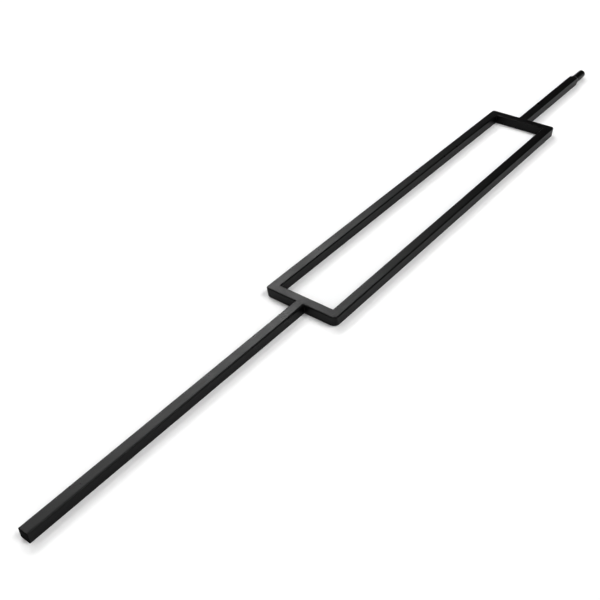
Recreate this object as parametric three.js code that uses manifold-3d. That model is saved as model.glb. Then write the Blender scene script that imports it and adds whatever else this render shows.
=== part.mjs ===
// Welded steel stair baluster with one long rectangle, made of square bar.
// It lies on its back: +X runs up the baluster to the round pin, +Y across the rectangle and
// +Z out of the front. The origin is under the middle of its bounding box. Millimetres.
import * as THREE from "three";
import { mergeVertices } from "three/addons/utils/BufferGeometryUtils.js";
import Module from "manifold-3d";

// Driving dimensions
const OVERALL_LENGTH = 1117.6; // sawn lower end to the tip of the pin
const BAR = 12.7; // width and thickness of the square bar
const EDGE_RADIUS = 1.5; // rounding along the bar's four long edges
const LOWER_LENGTH = 379; // sawn lower end to the rectangle
const FRAME_LENGTH = 533.4; // outside length of the rectangle
const FRAME_WIDTH = 98; // outside width of the rectangle
const CORNER_RADIUS = 6; // outer corners of the rectangle, ground round after welding
const PIN_DIAMETER = 11.6;
const PIN_LENGTH = 25.4;
const PIN_TIP_RADIUS = 1.5; // rounding of the pin's rim
const SHOULDER_LENGTH = 8; // where the square bar narrows to the pin
const WELD_DEPTH = 2; // depth of the bevelled groove that the weld fills
const WELD_FILLET = 1; // leg of the fillet in the tee's two inner corners
const COAT = { color: 0x1c1c1d, roughness: 0.45, metalness: 0 };

// Fineness of the rounded surfaces
const EDGE_STEPS = 3;
const CORNER_STEPS = 8;
const TURNED_SIDES = 40;
const SHOULDER_STEPS = 6;
const MERGE_DISTANCE = 1e-4; // points closer than this are one point

// Derived places along the length, from the bounding box's middle
const lowerEnd = -OVERALL_LENGTH / 2;
const frameStart = lowerEnd + LOWER_LENGTH;
const frameEnd = frameStart + FRAME_LENGTH;
const upperLength = OVERALL_LENGTH / 2 - frameEnd;
const squareLength = upperLength - PIN_LENGTH - SHOULDER_LENGTH;
const half = BAR / 2;
const reach = 4 * BAR; // how far a cutting tool runs past the steel

const wasm = await Module();
wasm.setup();

// A closed three.js geometry as a solid that can be cut and joined.
function solid(geometry) {
  const bare = geometry.clone();
  bare.deleteAttribute("normal");
  bare.deleteAttribute("uv");
  const merged = mergeVertices(bare, MERGE_DISTANCE);
  return new wasm.Manifold(
    new wasm.Mesh({
      numProp: 3,
      vertProperties: merged.attributes.position.array,
      triVerts: new Uint32Array(merged.index.array),
    }),
  );
}

// A named sub-part made from a solid, with its own coat.
function part(name, made) {
  const { vertProperties, triVerts, numProp } = made.getMesh();
  const geometry = new THREE.BufferGeometry();
  geometry.setAttribute("position", new THREE.BufferAttribute(vertProperties, numProp));
  geometry.setIndex(new THREE.BufferAttribute(triVerts, 1));
  geometry.computeVertexNormals();
  const mesh = new THREE.Mesh(geometry, new THREE.MeshStandardMaterial(COAT));
  mesh.name = name;
  return mesh;
}

// Turns a geometry drawn in X and Y and extruded along Z, so that it runs along +X from x = 0,
// with its drawing's X across and its Y up.
function alongX(geometry) {
  const axes = new THREE.Matrix4().makeBasis(
    new THREE.Vector3(0, 1, 0),
    new THREE.Vector3(0, 0, 1),
    new THREE.Vector3(1, 0, 0),
  );
  return geometry.applyMatrix4(axes);
}

// An outline from a list of [x, y] corners.
function outline(corners) {
  return new THREE.Shape(corners.map(([x, y]) => new THREE.Vector2(x, y)));
}

// A rectangle with rounded corners, centred on the origin.
function roundedRectangle(width, height, radius) {
  const x = width / 2 - radius;
  const y = height / 2 - radius;
  const quarter = Math.PI / 2;
  const shape = new THREE.Shape();
  shape.absarc(x, y, radius, 0, quarter);
  shape.absarc(-x, y, radius, quarter, 2 * quarter);
  shape.absarc(-x, -y, radius, 2 * quarter, 3 * quarter);
  shape.absarc(x, -y, radius, 3 * quarter, 4 * quarter);
  shape.closePath();
  return shape;
}

// Square bar along +X from x = 0, resting on z = 0.
function squareBar(length) {
  const shape = roundedRectangle(BAR, BAR, EDGE_RADIUS);
  const drawn = new THREE.ExtrudeGeometry(shape, {
    depth: length,
    bevelEnabled: false,
    curveSegments: EDGE_STEPS,
  });
  return solid(alongX(drawn).translate(0, 0, half));
}

// What is left of a bar along +X once its end at x = 0 is bevelled all round for welding.
function bevelTool(length) {
  const flat = half - WELD_DEPTH;
  const wide = flat + reach;
  const corners = [
    [0, -flat],
    [reach, -wide],
    [length + reach, -wide],
    [length + reach, wide],
    [reach, wide],
    [0, flat],
  ];
  const size = { depth: 2 * reach, bevelEnabled: false };
  const plan = new THREE.ExtrudeGeometry(outline(corners), size).translate(0, 0, -reach);
  const side = plan.clone().rotateX(Math.PI / 2);
  return solid(plan).intersect(solid(side)).translate([0, 0, half]);
}

// The profile that the shoulder and the pin are turned to, as a solid round the bar's middle.
function turnedTool() {
  const pinRadius = PIN_DIAMETER / 2;
  const cornerRadius = Math.hypot(half - EDGE_RADIUS, half - EDGE_RADIUS) + EDGE_RADIUS;
  const neck = squareLength + SHOULDER_LENGTH;
  const points = [
    [0, -reach],
    [BAR, -reach],
    [BAR, squareLength],
  ];
  for (let i = 0; i < SHOULDER_STEPS; i += 1) {
    const s = i / SHOULDER_STEPS;
    const radius = pinRadius + (cornerRadius - pinRadius) * (1 - s) ** 2;
    points.push([radius, squareLength + s * SHOULDER_LENGTH]);
  }
  points.push([pinRadius, neck]);
  for (let i = 0; i <= EDGE_STEPS; i += 1) {
    const turn = (i / EDGE_STEPS) * (Math.PI / 2);
    points.push([
      pinRadius - PIN_TIP_RADIUS * (1 - Math.cos(turn)),
      upperLength - PIN_TIP_RADIUS * (1 - Math.sin(turn)),
    ]);
  }
  points.push([0, upperLength]);
  const profile = points.map(([radius, along]) => new THREE.Vector2(radius, along));
  const turned = new THREE.LatheGeometry(profile, TURNED_SIDES);
  return solid(turned.rotateZ(-Math.PI / 2).translate(0, 0, half));
}

// The whole rectangle as one ring of steel, centred on the origin, before it is divided.
function frameRing() {
  const inset = 2 * EDGE_RADIUS;
  const shape = roundedRectangle(FRAME_LENGTH - inset, FRAME_WIDTH - inset, CORNER_RADIUS - EDGE_RADIUS);
  const x = FRAME_LENGTH / 2 - BAR + EDGE_RADIUS;
  const y = FRAME_WIDTH / 2 - BAR + EDGE_RADIUS;
  shape.holes.push(
    outline([
      [-x, -y],
      [-x, y],
      [x, y],
      [x, -y],
    ]),
  );
  const ring = new THREE.ExtrudeGeometry(shape, {
    depth: BAR - inset,
    bevelThickness: EDGE_RADIUS,
    bevelSize: EDGE_RADIUS,
    bevelSegments: EDGE_STEPS,
    curveSegments: CORNER_STEPS,
  });
  return solid(ring.translate(0, 0, EDGE_RADIUS));
}

// The sector of the rectangle between its mitre lines, on the end at signX or the side at signY.
function mitreSector(signX, signY) {
  const x = FRAME_LENGTH / 2;
  const y = FRAME_WIDTH / 2;
  const corners = signX
    ? [
        [x - y, 0],
        [x + reach, -y - reach],
        [x + reach, y + reach],
      ]
    : [
        [x - y, 0],
        [x + reach, y + reach],
        [-x - reach, y + reach],
        [y - x, 0],
      ];
  const size = { depth: 2 * reach, bevelEnabled: false };
  const sector = new THREE.ExtrudeGeometry(outline(corners), size).translate(0, 0, -reach);
  return solid(signX + signY > 0 ? sector : sector.rotateZ(Math.PI));
}

// The groove of one mitred corner: a V in the front and back faces, and the outer corner cut off.
function cornerGroove(signX, signY) {
  const diagonal = CORNER_RADIUS * Math.SQRT2;
  const size = { depth: 4 * reach, bevelEnabled: false };
  const deep = WELD_DEPTH;
  const vee = outline([
    [0, BAR - deep],
    [reach, BAR - deep + reach],
    [-reach, BAR - deep + reach],
  ]);
  const front = alongX(new THREE.ExtrudeGeometry(vee, size)).translate(-2 * reach, 0, 0);
  const back = front.clone().rotateX(Math.PI).translate(0, 0, BAR);
  const inner = diagonal - CORNER_RADIUS + deep;
  const cut = new THREE.BoxGeometry(2 * reach, 2 * reach, 2 * reach).translate(reach - inner, 0, 0);
  const turn = Math.atan2(signY, signX);
  const corner = [(signX * FRAME_LENGTH) / 2, (signY * FRAME_WIDTH) / 2, 0];
  return solid(front.rotateZ(turn))
    .add(solid(back.rotateZ(turn)))
    .add(solid(cut.rotateZ(turn)))
    .translate(corner);
}

// Weld metal round the tee where a bar along +X starts at x = 0 on the rectangle's face: a ring in
// the bevel, flush with the bar, and a small fillet in each inner corner.
function teeWeld(ring) {
  const stub = squareBar(BAR).translate([-EDGE_RADIUS, 0, 0]);
  const weld = stub.subtract(bevelTool(BAR)).subtract(ring);
  const fillet = new THREE.Shape();
  fillet.moveTo(0, 0);
  fillet.lineTo(WELD_FILLET, 0);
  fillet.absarc(WELD_FILLET, WELD_FILLET, WELD_FILLET, -Math.PI / 2, -Math.PI, true);
  fillet.closePath();
  const size = { depth: BAR - 2 * EDGE_RADIUS, bevelEnabled: false, curveSegments: EDGE_STEPS };
  const left = new THREE.ExtrudeGeometry(fillet, size).translate(0, half, EDGE_RADIUS);
  const right = left.clone().rotateX(Math.PI).translate(0, 0, BAR);
  return weld.add(solid(left)).add(solid(right));
}

// The rectangle: two rails, two stiles and the weld metal of its four corners.
function frameGroup(ring) {
  const group = new THREE.Group();
  const corners = [
    ["weld_lower_left", -1, 1],
    ["weld_lower_right", -1, -1],
    ["weld_upper_left", 1, 1],
    ["weld_upper_right", 1, -1],
  ];
  const grooves = corners.map(([, x, y]) => cornerGroove(x, y));
  corners.forEach(([name], i) => group.add(part(name, ring.intersect(grooves[i]))));
  const allGrooves = grooves.reduce((sum, groove) => sum.add(groove));
  const bars = [
    ["upper_rail", 1, 0],
    ["left_stile", 0, 1],
    ["lower_rail", -1, 0],
    ["right_stile", 0, -1],
  ];
  for (const [name, x, y] of bars) {
    group.add(part(name, ring.intersect(mitreSector(x, y)).subtract(allGrooves)));
  }
  return group;
}

// The lower bar and its weld, drawn from the rectangle outwards along +X and turned round.
function lowerGroup(ring) {
  const bar = squareBar(LOWER_LENGTH).intersect(bevelTool(LOWER_LENGTH));
  const group = new THREE.Group();
  const steel = ring.translate([-FRAME_LENGTH / 2, 0, 0]);
  group.add(part("lower_bar", bar), part("weld_lower_tee", teeWeld(steel)));
  group.rotation.z = Math.PI;
  return group;
}

// The upper bar, turned down to its pin, and its weld.
function upperGroup(ring) {
  const bar = squareBar(upperLength).intersect(turnedTool()).intersect(bevelTool(upperLength));
  const group = new THREE.Group();
  const steel = ring.translate([-FRAME_LENGTH / 2, 0, 0]);
  group.add(part("upper_bar", bar), part("weld_upper_tee", teeWeld(steel)));
  return group;
}

const ring = frameRing();
const frame = frameGroup(ring);
frame.position.x = (frameStart + frameEnd) / 2;
const lower = lowerGroup(ring);
lower.position.x = frameStart;
const upper = upperGroup(ring);
upper.position.x = frameEnd;

const group = new THREE.Group();
group.add(lower, frame, upper);
export default group;
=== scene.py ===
"""A welded stair baluster of square steel bar with one long rectangle, coated satin black.

It lies on its back on a pale floor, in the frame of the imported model: +X towards the pin, +Y across
the rectangle, +Z up, in metres. Every visible piece is a closed mesh that stands for one CAD node.
"""

import math

import bmesh
import bpy
from mathutils import Matrix, Vector


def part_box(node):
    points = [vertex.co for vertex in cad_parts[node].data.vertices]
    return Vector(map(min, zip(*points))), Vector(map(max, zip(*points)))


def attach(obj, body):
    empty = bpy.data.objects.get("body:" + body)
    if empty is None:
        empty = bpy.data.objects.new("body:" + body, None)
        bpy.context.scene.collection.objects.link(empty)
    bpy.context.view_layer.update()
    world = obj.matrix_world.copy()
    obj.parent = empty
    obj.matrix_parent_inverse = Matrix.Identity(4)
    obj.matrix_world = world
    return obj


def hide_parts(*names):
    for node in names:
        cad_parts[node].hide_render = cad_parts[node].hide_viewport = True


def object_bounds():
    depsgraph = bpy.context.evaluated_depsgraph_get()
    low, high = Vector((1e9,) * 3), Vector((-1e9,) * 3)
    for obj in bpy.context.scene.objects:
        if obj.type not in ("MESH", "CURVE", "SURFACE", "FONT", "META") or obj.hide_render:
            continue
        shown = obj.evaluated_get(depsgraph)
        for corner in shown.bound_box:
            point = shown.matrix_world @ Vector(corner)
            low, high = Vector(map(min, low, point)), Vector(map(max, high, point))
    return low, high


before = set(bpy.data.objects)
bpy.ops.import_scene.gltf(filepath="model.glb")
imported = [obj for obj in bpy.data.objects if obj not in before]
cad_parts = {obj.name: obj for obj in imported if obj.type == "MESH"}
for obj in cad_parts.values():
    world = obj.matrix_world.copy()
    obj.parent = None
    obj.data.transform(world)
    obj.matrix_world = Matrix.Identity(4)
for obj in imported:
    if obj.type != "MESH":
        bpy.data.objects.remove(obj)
cad_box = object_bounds()

MM = 0.001
QUARTER = math.pi / 2

# Sizes that the CAD boxes don't state
EDGE_RADIUS = 1.5 * MM  # rounding of the bar's long edges
GROUND_RADIUS = 2.4 * MM  # the lower bar's front right edge at the rectangle, ground with its weld
GROUND_LENGTH = 40 * MM  # how far along the bar that grinding fades out
SAWN_RADIUS = 0.3 * MM  # broken edge of the sawn end
CORNER_RADIUS = 4 * MM  # outer corners of the rectangle, as ground
CORNER_BACK_RADIUS = 9 * MM  # and at the back, where the grinder took more
CORNER_CUT_HEIGHT = 5 * MM  # how high that cut reaches
INNER_RADIUS = 0.5 * MM  # inner corners, as the coat leaves them
WELD_DEPTH = 2 * MM  # depth of a weld's groove
WELD_OVERLAP = 1.2 * MM  # how far a tee's weld laps onto the rounded edges of the rectangle
WELD_FILLET = 0.9 * MM  # leg of the fillet in the inner corners of a tee
FILLET_RIM = 0.05 * MM  # what is left of that leg at its ends
FILLET_BLUNTNESS = 4  # how suddenly it ends
FILLET_SINK = 1 * MM  # how deep a fillet sinks into the rest of its weld
FILLET_LAP = 0.6 * MM  # and how far it runs into the rail before the rail cuts it
STUB_LENGTH = 3 * MM  # a tee's weld along the bar, before the bevel cuts it
BEVEL_TOOL_END = 4 * MM  # how far along the bar that bevel's tool runs
PIN_RADIUS = 5.8 * MM
PIN_LENGTH = 25.4 * MM
PIN_TIP_RADIUS = 1.5 * MM
SHOULDER_LENGTH = 8 * MM

# Fineness: steps a quarter turn, across a flat face, and along a bar
ARC_STEPS = 8
FLAT_STEPS = 8
CORNER_STEPS = 24
SHOULDER_STEPS = 24
STATION_SPACING = 25 * MM
GROUND_STEP = 2 * MM
PIN_STEP = 4 * MM
CUT_TOLERANCE = 3e-7  # a vertex this close to a cutting plane lies on it
MERGE_DISTANCE = 1e-6  # vertices this close are one

# The coat. A pattern's scale is in repeats a metre.
COAT_COLOUR = (0.004, 0.004, 0.0042)
WORN_COLOUR = (0.014, 0.014, 0.014)
COAT_ROUGHNESS = 0.3
COAT_SPECULAR = 0.3
GLOSS_SPREAD = 0.03
EDGE_OUTSIDE = 0.98  # how square to an axis a surface is where an edge's rounding starts
EDGE_INSIDE = 0.75  # and well inside it
WEAR_SCALE = 220
WEAR_DETAIL = 4
WEAR_FROM, WEAR_TO = 0.45, 0.7  # noise values from which an edge wears, and at which it is worn
CLOUD_SCALE = 45
CLOUD_DETAIL = 3
CLOUD_FROM, CLOUD_TO = 0.3, 0.7  # noise values of the dullest and the glossiest coat
PEEL_SCALE = 450
PEEL_DETAIL = 2
PEEL_DEPTH = 0.06 * MM
GRAIN_SCALE = 4200
GRAIN_DETAIL = 1
GRAIN_DEPTH = 0.004 * MM
GRINDING_SCALE = 260
GRINDING_DETAIL = 1
GRINDING_DEPTH = 0.1 * MM
SAWN_ROUGHNESS = 0.8
SAWN_SPECULAR = 0.1
SAW_SCALE = 320
SAW_DEPTH = 0.05 * MM
SAW_WAVINESS = 1.5

# Smooth shading
SHARP_ANGLE = math.radians(32)  # faces that meet at more than this are shaded apart
FLAT_FACE_WEIGHT = 80  # how much large faces rule the shading beside them

# The floor
FLOOR_HALF_SIZE = 15
FLOOR_COLOUR = (0.95, 0.95, 0.95)
FLOOR_ROUGHNESS = 0.9

# The camera: where it stands as seen from its target, in degrees and metres, and its lens in mm.
# A fitting script found these values from the bars' edges in the photo.
CAMERA_TARGET = (-0.1632, 0.0128, 0)
CAMERA_AZIMUTH = -140.622
CAMERA_ELEVATION = 38.283
CAMERA_ROLL = -2.357
CAMERA_DISTANCE = 0.9991
FOCAL_LENGTH = 53.17
SENSOR_WIDTH = 36
CLIP_START, CLIP_END = 0.01, 100

# Softboxes: azimuth, elevation, roll, half width and height, their soft edges, and brightness.
# Angles are in degrees, and sizes are those of a box one metre away. All but the second box come
# from a fitting script that matched the photo's greys, then rounded, some with changed brightness.
SOFTBOXES = (
    (61, 40, 2, 0.35, 0.075, 0.05, 0.03, 8.2),
    (33, 33, 0, 0.08, 0.03, 0.06, 0.03, 2.4),
    (-56, 54, -60, 0.20, 0.17, 0.12, 0.08, 5.9),
    (110, 63, -15, 0.50, 0.05, 0.08, 0.07, 4.7),
    (-144, 35, -60, 0.43, 0.70, 0.16, 0.32, 1.1),
)
BACKDROP_TOP = 8  # elevation up to which the background is as pale as the floor, in degrees
BACKDROP_SOFT = 2  # half of the band over which it darkens
BACKDROP_BRIGHTNESS = 0.9

# Places, from the CAD boxes
bar = cad_box[1].z - cad_box[0].z
half = bar / 2
lower_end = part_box("lower_bar")[0].x
frame_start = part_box("lower_rail")[0].x
frame_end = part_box("upper_rail")[1].x
frame_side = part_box("left_stile")[1].y
pin_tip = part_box("upper_bar")[1].x
reach = 4 * bar  # how far a cutting tool runs past the steel


# Mesh tools

def mesh_object(name, bm):
    """A closed bmesh as an object, its faces pointing out."""
    bmesh.ops.recalc_face_normals(bm, faces=bm.faces)
    mesh = bpy.data.meshes.new(name)
    bm.to_mesh(mesh)
    bm.free()
    piece = bpy.data.objects.new(name, mesh)
    bpy.context.scene.collection.objects.link(piece)
    return piece


def loft(name, sections, closed=False):
    """A skin over sections of equally many points, capped at both ends unless it closes on itself."""
    bm = bmesh.new()
    loops = [[bm.verts.new(point) for point in section] for section in sections]
    pairs = list(zip(loops, loops[1:]))
    if closed:
        pairs.append((loops[-1], loops[0]))
    else:
        bm.faces.new(loops[0])
        bm.faces.new(loops[-1])
    for first, second in pairs:
        for i in range(len(first)):
            j = (i + 1) % len(first)
            bm.faces.new((first[i], first[j], second[j], second[i]))
    return mesh_object(name, bm)


def copy_of(piece, name):
    twin = bpy.data.objects.new(name, piece.data.copy())
    bpy.context.scene.collection.objects.link(twin)
    return twin


def slice_off(piece, planes):
    """Cuts a closed piece by planes, each a point and the direction of what goes, and closes it."""
    bm = bmesh.new()
    bm.from_mesh(piece.data)
    for point, away in planes:
        everything = bm.verts[:] + bm.edges[:] + bm.faces[:]
        made = bmesh.ops.bisect_plane(
            bm, geom=everything, plane_co=point, plane_no=away, clear_outer=True, dist=CUT_TOLERANCE
        )
        rim = [e for e in made["geom_cut"] if isinstance(e, bmesh.types.BMEdge)]
        bmesh.ops.holes_fill(bm, edges=rim, sides=0)
    bmesh.ops.recalc_face_normals(bm, faces=bm.faces)
    bm.to_mesh(piece.data)
    bm.free()
    return piece


def combine(piece, tool, operation):
    """Cuts, joins or intersects two closed pieces. The tool is used up."""
    step = piece.modifiers.new("combine", "BOOLEAN")
    step.operation = operation
    step.solver = "MANIFOLD"
    step.object = tool
    graph = bpy.context.evaluated_depsgraph_get()
    made = bpy.data.meshes.new_from_object(piece.evaluated_get(graph))
    piece.modifiers.clear()
    piece.data = made
    bpy.data.objects.remove(tool)
    return piece


def merge_close(piece):
    """Makes one vertex of those that the cuts left almost at the same place."""
    bm = bmesh.new()
    bm.from_mesh(piece.data)
    bmesh.ops.remove_doubles(bm, verts=bm.verts, dist=MERGE_DISTANCE)
    bm.to_mesh(piece.data)
    bm.free()


def between(start, end, spacing):
    """Evenly spaced values from start to end, both included."""
    count = max(1, math.ceil(abs(end - start) / spacing))
    return [start + (end - start) * i / count for i in range(count + 1)]


def smoothstep(value):
    value = min(1, max(0, value))
    return value * value * (3 - 2 * value)


# The square bar

def bar_section(x, inset=0, ground=EDGE_RADIUS, limit=bar):
    """The bar's rounded square section at x, drawn inset, its front right edge ground to a radius of
    its own, and turned to the circle of radius limit."""
    arcs = []
    for corner, (side, up) in enumerate(((1, 1), (-1, 1), (-1, -1), (1, -1))):
        radius = ground if (side, up) == (-1, 1) else EDGE_RADIUS
        core = half - radius
        turns = [(corner + i / ARC_STEPS) * QUARTER for i in range(ARC_STEPS + 1)]
        sweep = radius - inset
        arcs.append([(side * core + sweep * math.cos(a), up * core + sweep * math.sin(a)) for a in turns])
    points = []
    for arc, following in zip(arcs, arcs[1:] + arcs[:1]):
        points += arc
        start, end = Vector(arc[-1]), Vector(following[0])
        points += [start.lerp(end, i / FLAT_STEPS) for i in range(1, FLAT_STEPS)]
    section = []
    for y, z in points:
        share = min(1, limit / math.hypot(y, z))
        section.append((x, y * share, half + z * share))
    return section


def ground_radius(x):
    """Radius of the lower bar's front right edge at x, wider towards the rectangle."""
    share = smoothstep((x - frame_start + GROUND_LENGTH) / GROUND_LENGTH)
    return EDGE_RADIUS + (GROUND_RADIUS - EDGE_RADIUS) * share


def bevel_planes(x, outward):
    """The four planes that bevel a bar's end at x, which faces along outward, +1 or -1."""
    planes = []
    for turn in range(4):
        side = Vector((0, math.cos(turn * QUARTER), math.sin(turn * QUARTER)))
        point = Vector((x, 0, half)) + side * (half - WELD_DEPTH)
        planes.append((point, side + Vector((outward, 0, 0))))
    return planes


def lower_bar():
    """From the sawn end to the rectangle."""
    sections = []
    for i in range(ARC_STEPS + 1):
        turn = i / ARC_STEPS * QUARTER
        x = lower_end + SAWN_RADIUS * (1 - math.sin(turn))
        sections.append(bar_section(x, inset=SAWN_RADIUS * (1 - math.cos(turn))))
    sections.reverse()
    plain_end = frame_start - GROUND_LENGTH
    for x in between(lower_end + SAWN_RADIUS, plain_end, STATION_SPACING)[1:]:
        sections.append(bar_section(x))
    for x in between(plain_end, frame_start, GROUND_STEP)[1:]:
        sections.append(bar_section(x, ground=ground_radius(x)))
    return slice_off(loft("lower_bar_steel", sections), bevel_planes(frame_start, 1))


def upper_bar():
    """From the rectangle to the tip of the pin, with the turned shoulder between."""
    neck = pin_tip - PIN_LENGTH
    shoulder = neck - SHOULDER_LENGTH
    corner = math.hypot(half - EDGE_RADIUS, half - EDGE_RADIUS) + EDGE_RADIUS
    sections = [bar_section(x) for x in between(frame_end, shoulder, STATION_SPACING)]
    for i in range(1, SHOULDER_STEPS + 1):
        share = i / SHOULDER_STEPS
        limit = PIN_RADIUS + (corner - PIN_RADIUS) * (1 - share) ** 2
        sections.append(bar_section(shoulder + SHOULDER_LENGTH * share, limit=limit))
    for x in between(neck, pin_tip - PIN_TIP_RADIUS, PIN_STEP)[1:]:
        sections.append(bar_section(x, limit=PIN_RADIUS))
    for i in range(1, ARC_STEPS + 1):
        turn = i / ARC_STEPS * QUARTER
        x = pin_tip - PIN_TIP_RADIUS * (1 - math.sin(turn))
        limit = PIN_RADIUS - PIN_TIP_RADIUS * (1 - math.cos(turn))
        sections.append(bar_section(x, limit=limit))
    return slice_off(loft("upper_bar_steel", sections), bevel_planes(frame_end, -1))


# The rectangle

def ring_section(outer, inner):
    """A section of the rectangle from its inner to its outer side. Inner gives a place on its side,
    moved into the steel by an inset, and outer one at a height too."""
    turns = [i / ARC_STEPS * QUARTER for i in range(ARC_STEPS + 1)]
    bends = [(EDGE_RADIUS * (1 - math.cos(a)), EDGE_RADIUS * (1 - math.sin(a))) for a in turns]
    halves = []
    for level in (lambda drop: bar - drop, lambda drop: drop):
        points = [(*inner(inset), level(drop)) for inset, drop in bends]
        start, end = Vector(points[-1]), Vector((*outer(EDGE_RADIUS, level(0)), level(0)))
        points += [tuple(start.lerp(end, i / FLAT_STEPS)) for i in range(1, FLAT_STEPS)]
        points += [(*outer(inset, level(drop)), level(drop)) for inset, drop in reversed(bends)]
        halves.append(points)
    return halves[0] + halves[1][::-1]


def corner_radius(z):
    """Outer corner radius of the rectangle at height z."""
    share = max(0, 1 - z / CORNER_CUT_HEIGHT)
    return CORNER_RADIUS + (CORNER_BACK_RADIUS - CORNER_RADIUS) * share ** 2


def frame_ring():
    """The whole rectangle as one ring of steel, before it is divided into bars and welds."""
    sections = []
    middle = (frame_start + frame_end) / 2
    for corner, (side_x, side_y) in enumerate(((1, 1), (-1, 1), (-1, -1), (1, -1))):
        edge_x = frame_end if side_x > 0 else frame_start
        edge_y = side_y * frame_side

        def place(inward, radius, turn):
            x = edge_x - side_x * inward + radius * math.cos(turn)
            y = edge_y - side_y * inward + radius * math.sin(turn)
            return x, y

        for i in range(CORNER_STEPS + 1):
            turn = (corner + i / CORNER_STEPS) * QUARTER
            sections.append(ring_section(
                lambda inset, z: place(corner_radius(z), corner_radius(z) - inset, turn),
                lambda inset: place(bar + INNER_RADIUS, INNER_RADIUS + inset, turn),
            ))
        sections += side_sections(corner, middle)
    return loft("ring", sections, closed=True)


def side_sections(corner, middle):
    """Sections square across the side that follows a corner of the rectangle."""
    margin = bar + CORNER_BACK_RADIUS
    half_length = (frame_end - frame_start) / 2
    span = (half_length if corner % 2 == 0 else frame_side) - margin
    away = frame_side if corner % 2 == 0 else half_length
    sections = []
    for along in between(span, -span, STATION_SPACING):
        turn = Matrix.Rotation(corner * QUARTER, 2)
        centre = Vector((middle, 0))
        sections.append(ring_section(
            lambda inset, z: centre + turn @ Vector((along, away - inset)),
            lambda inset: centre + turn @ Vector((along, away - bar + inset)),
        ))
    return sections


def corner_frame(side_x, side_y):
    """Place and diagonal direction of an outer corner of the rectangle, where its faces would meet."""
    point = Vector((frame_end if side_x > 0 else frame_start, side_y * frame_side, 0))
    return point, Vector((side_x, side_y, 0)).normalized()


def ring_bar(ring, name, side, across):
    """One bar of the ring: side is the direction its outer face looks in, across the direction
    along the bar."""
    piece = copy_of(ring, name)
    middle = Vector(((frame_start + frame_end) / 2, 0, half))
    planes = [(middle, -side)]
    for end in (1, -1):
        towards = side + across * end
        point, diagonal = corner_frame(towards.x, towards.y)
        cut = across * end - side
        planes.append((point, cut))
        for up in (1, -1):
            root = point + Vector((0, 0, half + up * (half - WELD_DEPTH)))
            planes.append((root, cut.normalized() + Vector((0, 0, up))))
        planes.append((point - diagonal * corner_depth(), diagonal))
    return slice_off(piece, planes)


def corner_depth():
    """How far in from the sharp corner, along its diagonal, the weld of a corner starts."""
    return CORNER_BACK_RADIUS * (math.sqrt(2) - 1) + WELD_DEPTH


def corner_weld(ring, name, side_x, side_y):
    """Weld metal in the V grooves and the outer corner of a mitre, flush with the ring."""
    point, diagonal = corner_frame(side_x, side_y)
    cross = Vector((-diagonal.y, diagonal.x, 0))
    root = bar - WELD_DEPTH
    vee = [(0, root), (-reach, root + reach), (reach, root + reach)]
    grooves = []
    for flip in (False, True):
        sections = []
        for along in (-reach, reach):
            sections.append([point + diagonal * along + cross * s + Vector((0, 0, bar - z if flip else z))
                             for s, z in vee])
        grooves.append(loft("tool", sections))
    start = point - diagonal * corner_depth()
    square = [(-reach, -reach), (-reach, reach), (reach, reach), (reach, -reach)]
    block = [[start + diagonal * along + cross * s + Vector((0, 0, z)) for s, z in square]
             for along in (0, reach)]
    tool = combine(combine(grooves[0], grooves[1], "UNION"), loft("tool", block), "UNION")
    return combine(copy_of(ring, name), tool, "INTERSECT")


def tee_weld(name, ring, x, outward, ground):
    """Weld metal where a bar meets the rectangle at x: a ring in the bar's bevel and two fillets.
    Outward is the direction from the rectangle along the bar."""
    weld = loft(name, [bar_section(x + outward * STUB_LENGTH, ground=ground),
                       bar_section(x - outward * WELD_OVERLAP, ground=ground)])
    for side in (1, -1):
        top = bar - (ground if side < 0 else EDGE_RADIUS)
        fillet = []
        for i in range(2 * ARC_STEPS + 1):
            share = i / ARC_STEPS - 1
            leg = WELD_FILLET * math.sqrt(1 - abs(share) ** FILLET_BLUNTNESS) + FILLET_RIM
            z = EDGE_RADIUS + (top - EDGE_RADIUS) * (1 + share) / 2
            fillet.append(fillet_section(x, outward, side, leg, z))
        combine(weld, loft("tool", fillet), "UNION")
    combine(weld, bevel_tool(x, outward), "DIFFERENCE")
    return combine(weld, copy_of(ring, "tool"), "DIFFERENCE")


def bevel_tool(x, outward):
    """The bevelled end of a bar at x, run on past the weld both ways, to cut the weld by."""
    sections = []
    for along in (-WELD_DEPTH, BEVEL_TOOL_END):
        size = half - WELD_DEPTH + along
        corners = ((size, size), (-size, size), (-size, -size), (size, -size))
        sections.append([(x + outward * along, y, half + z) for y, z in corners])
    return loft("tool", sections)


def fillet_section(x, outward, side, leg, z):
    """A level section of a concave fillet in the inner corner of a bar and a rail."""
    buried = half - FILLET_SINK
    points = [(-FILLET_LAP, buried), (-FILLET_LAP, half + leg)]
    for i in range(ARC_STEPS + 1):
        turn = i / ARC_STEPS * QUARTER
        points.append((leg * (1 - math.cos(turn)), half + leg * (1 - math.sin(turn))))
    points.append((leg, buried))
    return [(x + outward * away, side * y, z) for away, y in points]


# Materials

def shader_node(tree, kind, inputs, output=0, **settings):
    """Adds a node, sets its inputs or links them to other nodes, and gives one of its outputs."""
    node = tree.nodes.new("ShaderNode" + kind)
    for name, value in settings.items():
        setattr(node, name, value)
    for name, value in inputs.items():
        if isinstance(value, bpy.types.NodeSocket):
            tree.links.new(value, node.inputs[name])
        else:
            node.inputs[name].default_value = value
    return node.outputs[output]


def maths(tree, operation, *values):
    return shader_node(tree, "Math", dict(enumerate(values)), operation=operation)


def ranged(tree, value, start, end, low=0.0, high=1.0, smooth=False):
    """Value's range from start to end, turned into the range from low to high."""
    inputs = {"Value": value, "From Min": start, "From Max": end, "To Min": low, "To Max": high}
    kind = "SMOOTHSTEP" if smooth else "LINEAR"
    return shader_node(tree, "MapRange", inputs, interpolation_type=kind)


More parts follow.
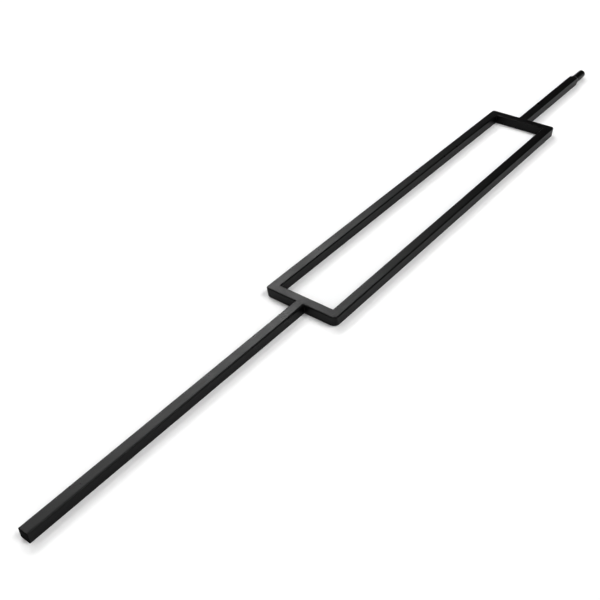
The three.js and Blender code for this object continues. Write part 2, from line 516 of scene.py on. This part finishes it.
def noise(tree, place, scale, detail):
    inputs = {"Vector": place, "Scale": scale, "Detail": detail}
    return shader_node(tree, "TexNoise", inputs, output="Fac")


def bump(tree, height, distance, below=None):
    inputs = {"Height": height, "Distance": distance}
    if below:
        inputs["Normal"] = below
    return shader_node(tree, "Bump", inputs)


def edge_mask(tree):
    """1 on a rounded edge and 0 on a flat face, from how far the surface is turned off the axes."""
    normal = shader_node(tree, "NewGeometry", {}, output="Normal")
    sizes = shader_node(tree, "VectorMath", {0: normal}, operation="ABSOLUTE")
    split = tree.nodes.new("ShaderNodeSeparateXYZ")
    tree.links.new(sizes, split.inputs[0])
    largest = maths(tree, "MAXIMUM", split.outputs["X"], split.outputs["Y"])
    largest = maths(tree, "MAXIMUM", largest, split.outputs["Z"])
    return ranged(tree, largest, EDGE_OUTSIDE, EDGE_INSIDE)


def powder_coat(name, roughness=COAT_ROUGHNESS, specular=COAT_SPECULAR):
    """Satin black powder coat, with orange peel, fine grain, uneven gloss and worn edges. Gives the
    material, the place its patterns are drawn from and its normal, for more bumps to be added."""
    material = bpy.data.materials.new(name)
    material.use_nodes = True
    tree = material.node_tree
    shader = tree.nodes["Principled BSDF"]
    shader.inputs["Specular IOR Level"].default_value = specular
    place = shader_node(tree, "TexCoord", {}, output="Object")

    patchy = ranged(tree, noise(tree, place, WEAR_SCALE, WEAR_DETAIL), WEAR_FROM, WEAR_TO)
    wear = maths(tree, "MULTIPLY", edge_mask(tree), patchy)
    colours = {"Factor": wear, "A": (*COAT_COLOUR, 1), "B": (*WORN_COLOUR, 1)}
    tint = shader_node(tree, "Mix", colours, output="Result", data_type="RGBA")
    tree.links.new(tint, shader.inputs["Base Color"])

    cloudy = noise(tree, place, CLOUD_SCALE, CLOUD_DETAIL)
    dull = ranged(tree, cloudy, CLOUD_TO, CLOUD_FROM, roughness - GLOSS_SPREAD, roughness + GLOSS_SPREAD)
    tree.links.new(dull, shader.inputs["Roughness"])

    normal = bump(tree, noise(tree, place, PEEL_SCALE, PEEL_DETAIL), PEEL_DEPTH)
    normal = bump(tree, noise(tree, place, GRAIN_SCALE, GRAIN_DETAIL), GRAIN_DEPTH, normal)
    tree.links.new(normal, shader.inputs["Normal"])
    return material, place, normal


def add_bump(material, height, distance, below):
    """One more bump over a coat's own."""
    tree = material.node_tree
    normal = bump(tree, height, distance, below)
    tree.links.new(normal, tree.nodes["Principled BSDF"].inputs["Normal"])
    return material


def coated_weld():
    """The same coat over weld metal that was ground flush by hand and left slightly wavy."""
    material, place, normal = powder_coat("coated_weld")
    waves = noise(material.node_tree, place, GRINDING_SCALE, GRINDING_DETAIL)
    return add_bump(material, waves, GRINDING_DEPTH, normal)


def sawn_coat():
    """A thin, dull coat over the fine ridges that a saw leaves."""
    material, place, normal = powder_coat("sawn_end_coat", SAWN_ROUGHNESS, SAWN_SPECULAR)
    inputs = {"Vector": place, "Scale": SAW_SCALE, "Distortion": SAW_WAVINESS}
    ridges = shader_node(material.node_tree, "TexWave", inputs, output="Fac", bands_direction="Z")
    return add_bump(material, ridges, SAW_DEPTH, normal)


def finish_piece(piece, node, materials):
    """Smooth shading, its coat, and its place in the frame."""
    merge_close(piece)
    piece.data.materials.clear()
    for material in materials:
        piece.data.materials.append(material)
    piece.data.shade_smooth()
    piece.data.set_sharp_from_angle(angle=SHARP_ANGLE)
    weigh = piece.modifiers.new("weighted normals", "WEIGHTED_NORMAL")
    weigh.keep_sharp = True
    weigh.weight = FLAT_FACE_WEIGHT
    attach(piece, "root")
    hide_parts(node)


def build_object():
    coat, *_ = powder_coat("satin_black_coat")
    sawn = sawn_coat()
    welded = coated_weld()
    ring = frame_ring()
    lower = lower_bar()
    upper = upper_bar()

    ahead, left = Vector((1, 0, 0)), Vector((0, 1, 0))
    for name, side, across in (("lower_rail", -ahead, left), ("upper_rail", ahead, left),
                               ("left_stile", left, ahead), ("right_stile", -left, ahead)):
        piece = ring_bar(ring, name + "_steel", side, across)
        finish_piece(piece, name, [coat])
    for name, side_x, side_y in (("weld_lower_left", -1, 1), ("weld_lower_right", -1, -1),
                                 ("weld_upper_left", 1, 1), ("weld_upper_right", 1, -1)):
        piece = corner_weld(ring, name + "_metal", side_x, side_y)
        finish_piece(piece, name, [welded])
    lower_weld = tee_weld("weld_lower_tee_metal", ring, frame_start, -1, GROUND_RADIUS)
    upper_weld = tee_weld("weld_upper_tee_metal", ring, frame_end, 1, EDGE_RADIUS)
    finish_piece(lower_weld, "weld_lower_tee", [welded])
    finish_piece(upper_weld, "weld_upper_tee", [welded])
    finish_piece(lower, "lower_bar", [coat, sawn])
    finish_piece(upper, "upper_bar", [coat])
    for face in lower.data.polygons:
        if face.center.x < lower_end + SAWN_RADIUS:
            face.material_index = 1
    bpy.data.objects.remove(ring)


# Floor, camera and lights

def build_floor():
    bm = bmesh.new()
    bmesh.ops.create_grid(bm, x_segments=1, y_segments=1, size=FLOOR_HALF_SIZE)
    floor = mesh_object("floor", bm)
    material = bpy.data.materials.new("pale_floor")
    material.use_nodes = True
    shader = material.node_tree.nodes["Principled BSDF"]
    shader.inputs["Base Color"].default_value = (*FLOOR_COLOUR, 1)
    shader.inputs["Roughness"].default_value = FLOOR_ROUGHNESS
    shader.inputs["Specular IOR Level"].default_value = 0.0
    floor.data.materials.append(material)
    floor.location.z = cad_box[0].z


def direction(azimuth, elevation):
    """The direction at angles in degrees, the azimuth from +X towards +Y."""
    a, e = math.radians(azimuth), math.radians(elevation)
    return Vector((math.cos(a) * math.cos(e), math.sin(a) * math.cos(e), math.sin(e)))


def build_camera():
    lens = bpy.data.cameras.new("camera")
    lens.sensor_width = SENSOR_WIDTH
    lens.lens = FOCAL_LENGTH
    lens.clip_start = CLIP_START
    lens.clip_end = CLIP_END
    camera = bpy.data.objects.new("camera", lens)
    bpy.context.scene.collection.objects.link(camera)
    back = direction(CAMERA_AZIMUTH, CAMERA_ELEVATION)
    turn = back.to_track_quat("Z", "Y").to_matrix().to_4x4()
    roll = Matrix.Rotation(math.radians(CAMERA_ROLL), 4, "Z")
    place = Matrix.Translation(Vector(CAMERA_TARGET) + back * CAMERA_DISTANCE)
    camera.matrix_world = place @ turn @ roll
    bpy.context.scene.camera = camera


def softbox(tree, towards, box):
    """Brightness of one soft-edged rectangular light in the sky."""
    azimuth, elevation, roll, width, height, soft_width, soft_height, brightness = box
    centre = direction(azimuth, elevation)
    level = Vector((0, 0, 1)).cross(centre).normalized()
    turn = Matrix.Rotation(math.radians(roll), 3, centre)
    across = turn @ level
    upward = turn @ centre.cross(level)

    def along(axis):
        inputs = {0: towards, 1: axis}
        return shader_node(tree, "VectorMath", inputs, output="Value", operation="DOT_PRODUCT")

    def window(axis, size, soft):
        distance = maths(tree, "ABSOLUTE", along(axis))
        return ranged(tree, distance, size + soft, size - soft, smooth=True)

    ahead = maths(tree, "GREATER_THAN", along(centre), 0.0)
    shape = maths(tree, "MULTIPLY", window(across, width, soft_width), window(upward, height, soft_height))
    return maths(tree, "MULTIPLY", maths(tree, "MULTIPLY", shape, ahead), brightness)


def build_studio():
    """A dark room with the softboxes and a pale backdrop just above the floor."""
    world = bpy.data.worlds.new("studio")
    bpy.context.scene.world = world
    world.use_nodes = True
    tree = world.node_tree
    place = shader_node(tree, "TexCoord", {}, output="Generated")
    towards = shader_node(tree, "VectorMath", {0: place}, operation="NORMALIZE")
    height = shader_node(tree, "SeparateXYZ", {0: towards}, output="Z")
    top, soft = math.sin(math.radians(BACKDROP_TOP)), math.sin(math.radians(BACKDROP_SOFT))
    light = ranged(tree, height, top + soft, top - soft, 0.0, BACKDROP_BRIGHTNESS, smooth=True)
    for box in SOFTBOXES:
        light = maths(tree, "ADD", light, softbox(tree, towards, box))
    tree.links.new(light, tree.nodes["Background"].inputs["Strength"])
    tree.nodes["Background"].inputs["Color"].default_value = (1, 1, 1, 1)


build_object()
build_floor()
build_camera()
build_studio()
bpy.context.scene.view_settings.view_transform = "Standard"
bpy.context.scene.view_settings.look = "High Contrast"
